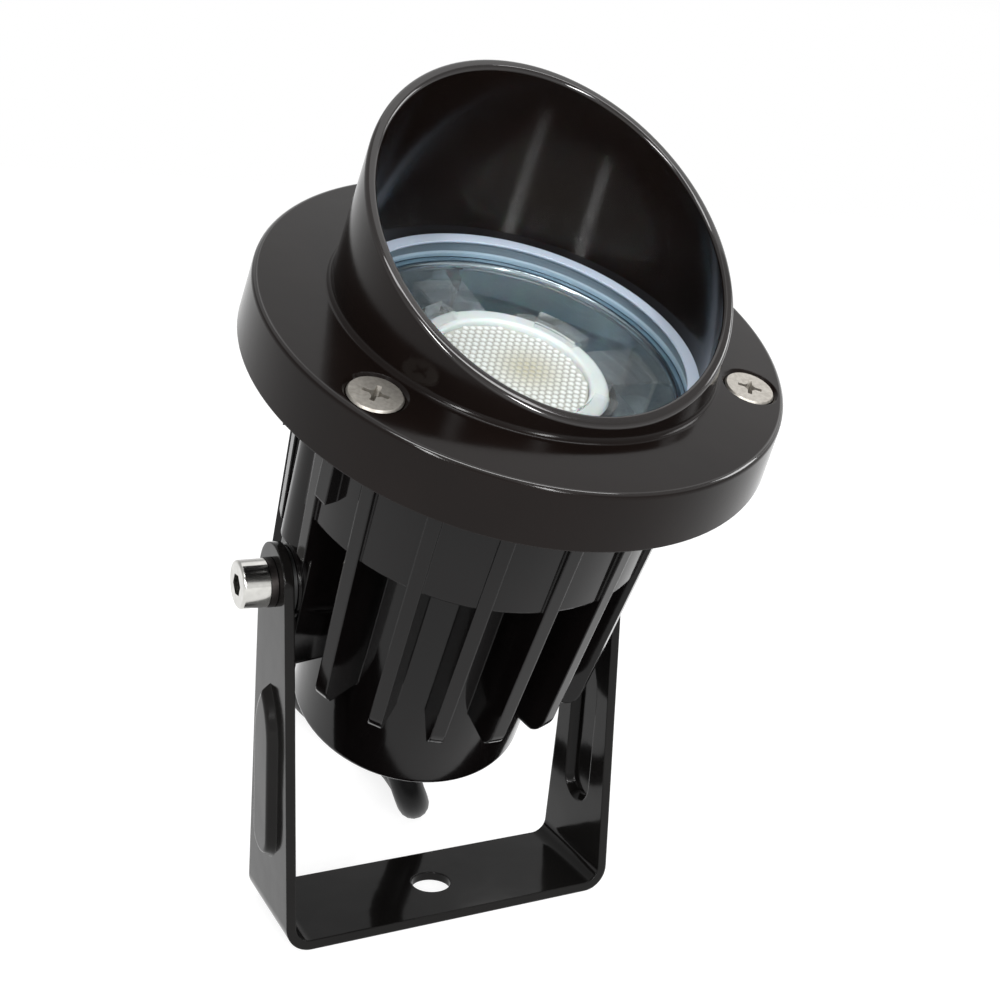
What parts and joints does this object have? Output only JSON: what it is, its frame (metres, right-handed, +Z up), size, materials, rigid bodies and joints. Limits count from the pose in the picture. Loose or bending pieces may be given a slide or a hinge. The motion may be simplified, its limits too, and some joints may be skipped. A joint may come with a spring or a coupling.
{
  "type": "spotlight",
  "caption": "Outdoor spotlight: finned cylindrical lamp head with an oblique glare shield, tilting on two bolts in a U bracket with a fixing hole, with a coiled cable.",
  "frame": {"origin": "centre of the bracket's fixing hole, on the underside of its base", "axes": "+Z up out of the base, +X along the tilt axis; the lamp leans towards -Y at rest"},
  "size_m": [0.1114, 0.1769, 0.1304],
  "materials": {
    "bracket_paint": "glossy black paint on pressed steel",
    "casting_paint": "glossy brown-black paint on cast aluminium",
    "silicone": "pale blue-grey translucent silicone",
    "clear_glass": "clear, flat",
    "stainless": "bright stainless steel",
    "dark_steel": "blackened spring steel",
    "bare_aluminium": "machined",
    "polished_aluminium": "polished",
    "grey_rubber": "soft thermal pad",
    "white_board": "metal-core board with a white mask",
    "phosphor": "yellow phosphor under clear silicone",
    "clear_plastic": "clear acrylic",
    "white_plastic": "white",
    "black_plastic": "black",
    "green_board": "glass-fibre circuit board",
    "black_rubber": "soft",
    "lead_insulation": "brown insulation",
    "cable_jacket": "satin black rubber"
  },
  "bodies": {
    "bracket": {"bracket": "bracket_paint", "cord_lead": "cable_jacket", "cord_coil": "cable_jacket", "cord_tie": "black_plastic", "cord_cores": "lead_insulation"},
    "head": {"heat_sink_body": "casting_paint", "front_ring": "casting_paint", "front_gasket": "silicone", "front_glass": "clear_glass", "cover_screws": "stainless", "heat_spreader_plate": "bare_aluminium", "plate_screws": "stainless", "reflector_sleeve": "polished_aluminium", "thermal_pad": "grey_rubber", "led_board": "white_board", "led_emitter": "phosphor", "lens": "clear_plastic", "lens_cup": "white_plastic", "lens_carrier": "clear_plastic", "driver_insulator": "white_plastic", "driver_board": "green_board", "driver_inductor": "black_plastic", "driver_capacitors": "black_plastic", "driver_chips": "black_plastic", "led_leads": "lead_insulation", "input_cores": "lead_insulation", "gland_body": "black_plastic", "gland_washer": "black_rubber", "gland_seal": "black_rubber", "gland_nut": "black_plastic", "cable_end": "cable_jacket", "friction_washers": "black_plastic", "pivot_lock_washers": "dark_steel", "pivot_bolts": "stainless"}
  },
  "joints": [
    {"name": "head_tilt", "type": "hinge", "parent": "bracket", "child": "head", "pos_m": [0, 0, 0.057], "axis": [1, 0, 0], "range_deg": [-116.2, 63.8], "deforming": ["cord_lead"]}
  ]
}
